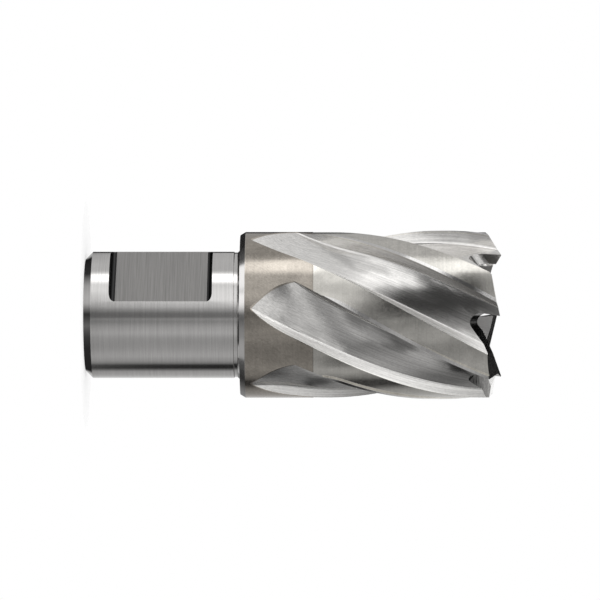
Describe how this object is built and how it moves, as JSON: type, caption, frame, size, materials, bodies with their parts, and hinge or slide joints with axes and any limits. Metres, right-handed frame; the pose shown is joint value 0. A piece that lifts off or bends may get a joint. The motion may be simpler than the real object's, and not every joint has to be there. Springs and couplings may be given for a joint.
{
  "type": "annular cutter",
  "caption": "Annular cutter for a magnetic drill: plain side-lock shank, hollow fluted body and staggered teeth round the rim.",
  "frame": {"origin": "centre of the shank's end face", "axes": "+Z along the tool's axis from the shank end to the teeth; one side-lock flat faces -Y and the other faces -X"},
  "size_m": [0.0254, 0.0254, 0.0624],
  "materials": {
    "high_speed_steel": "ground, bright"
  },
  "bodies": {
    "root": {"annular_cutter": "high_speed_steel"}
  },
  "joints": []
}
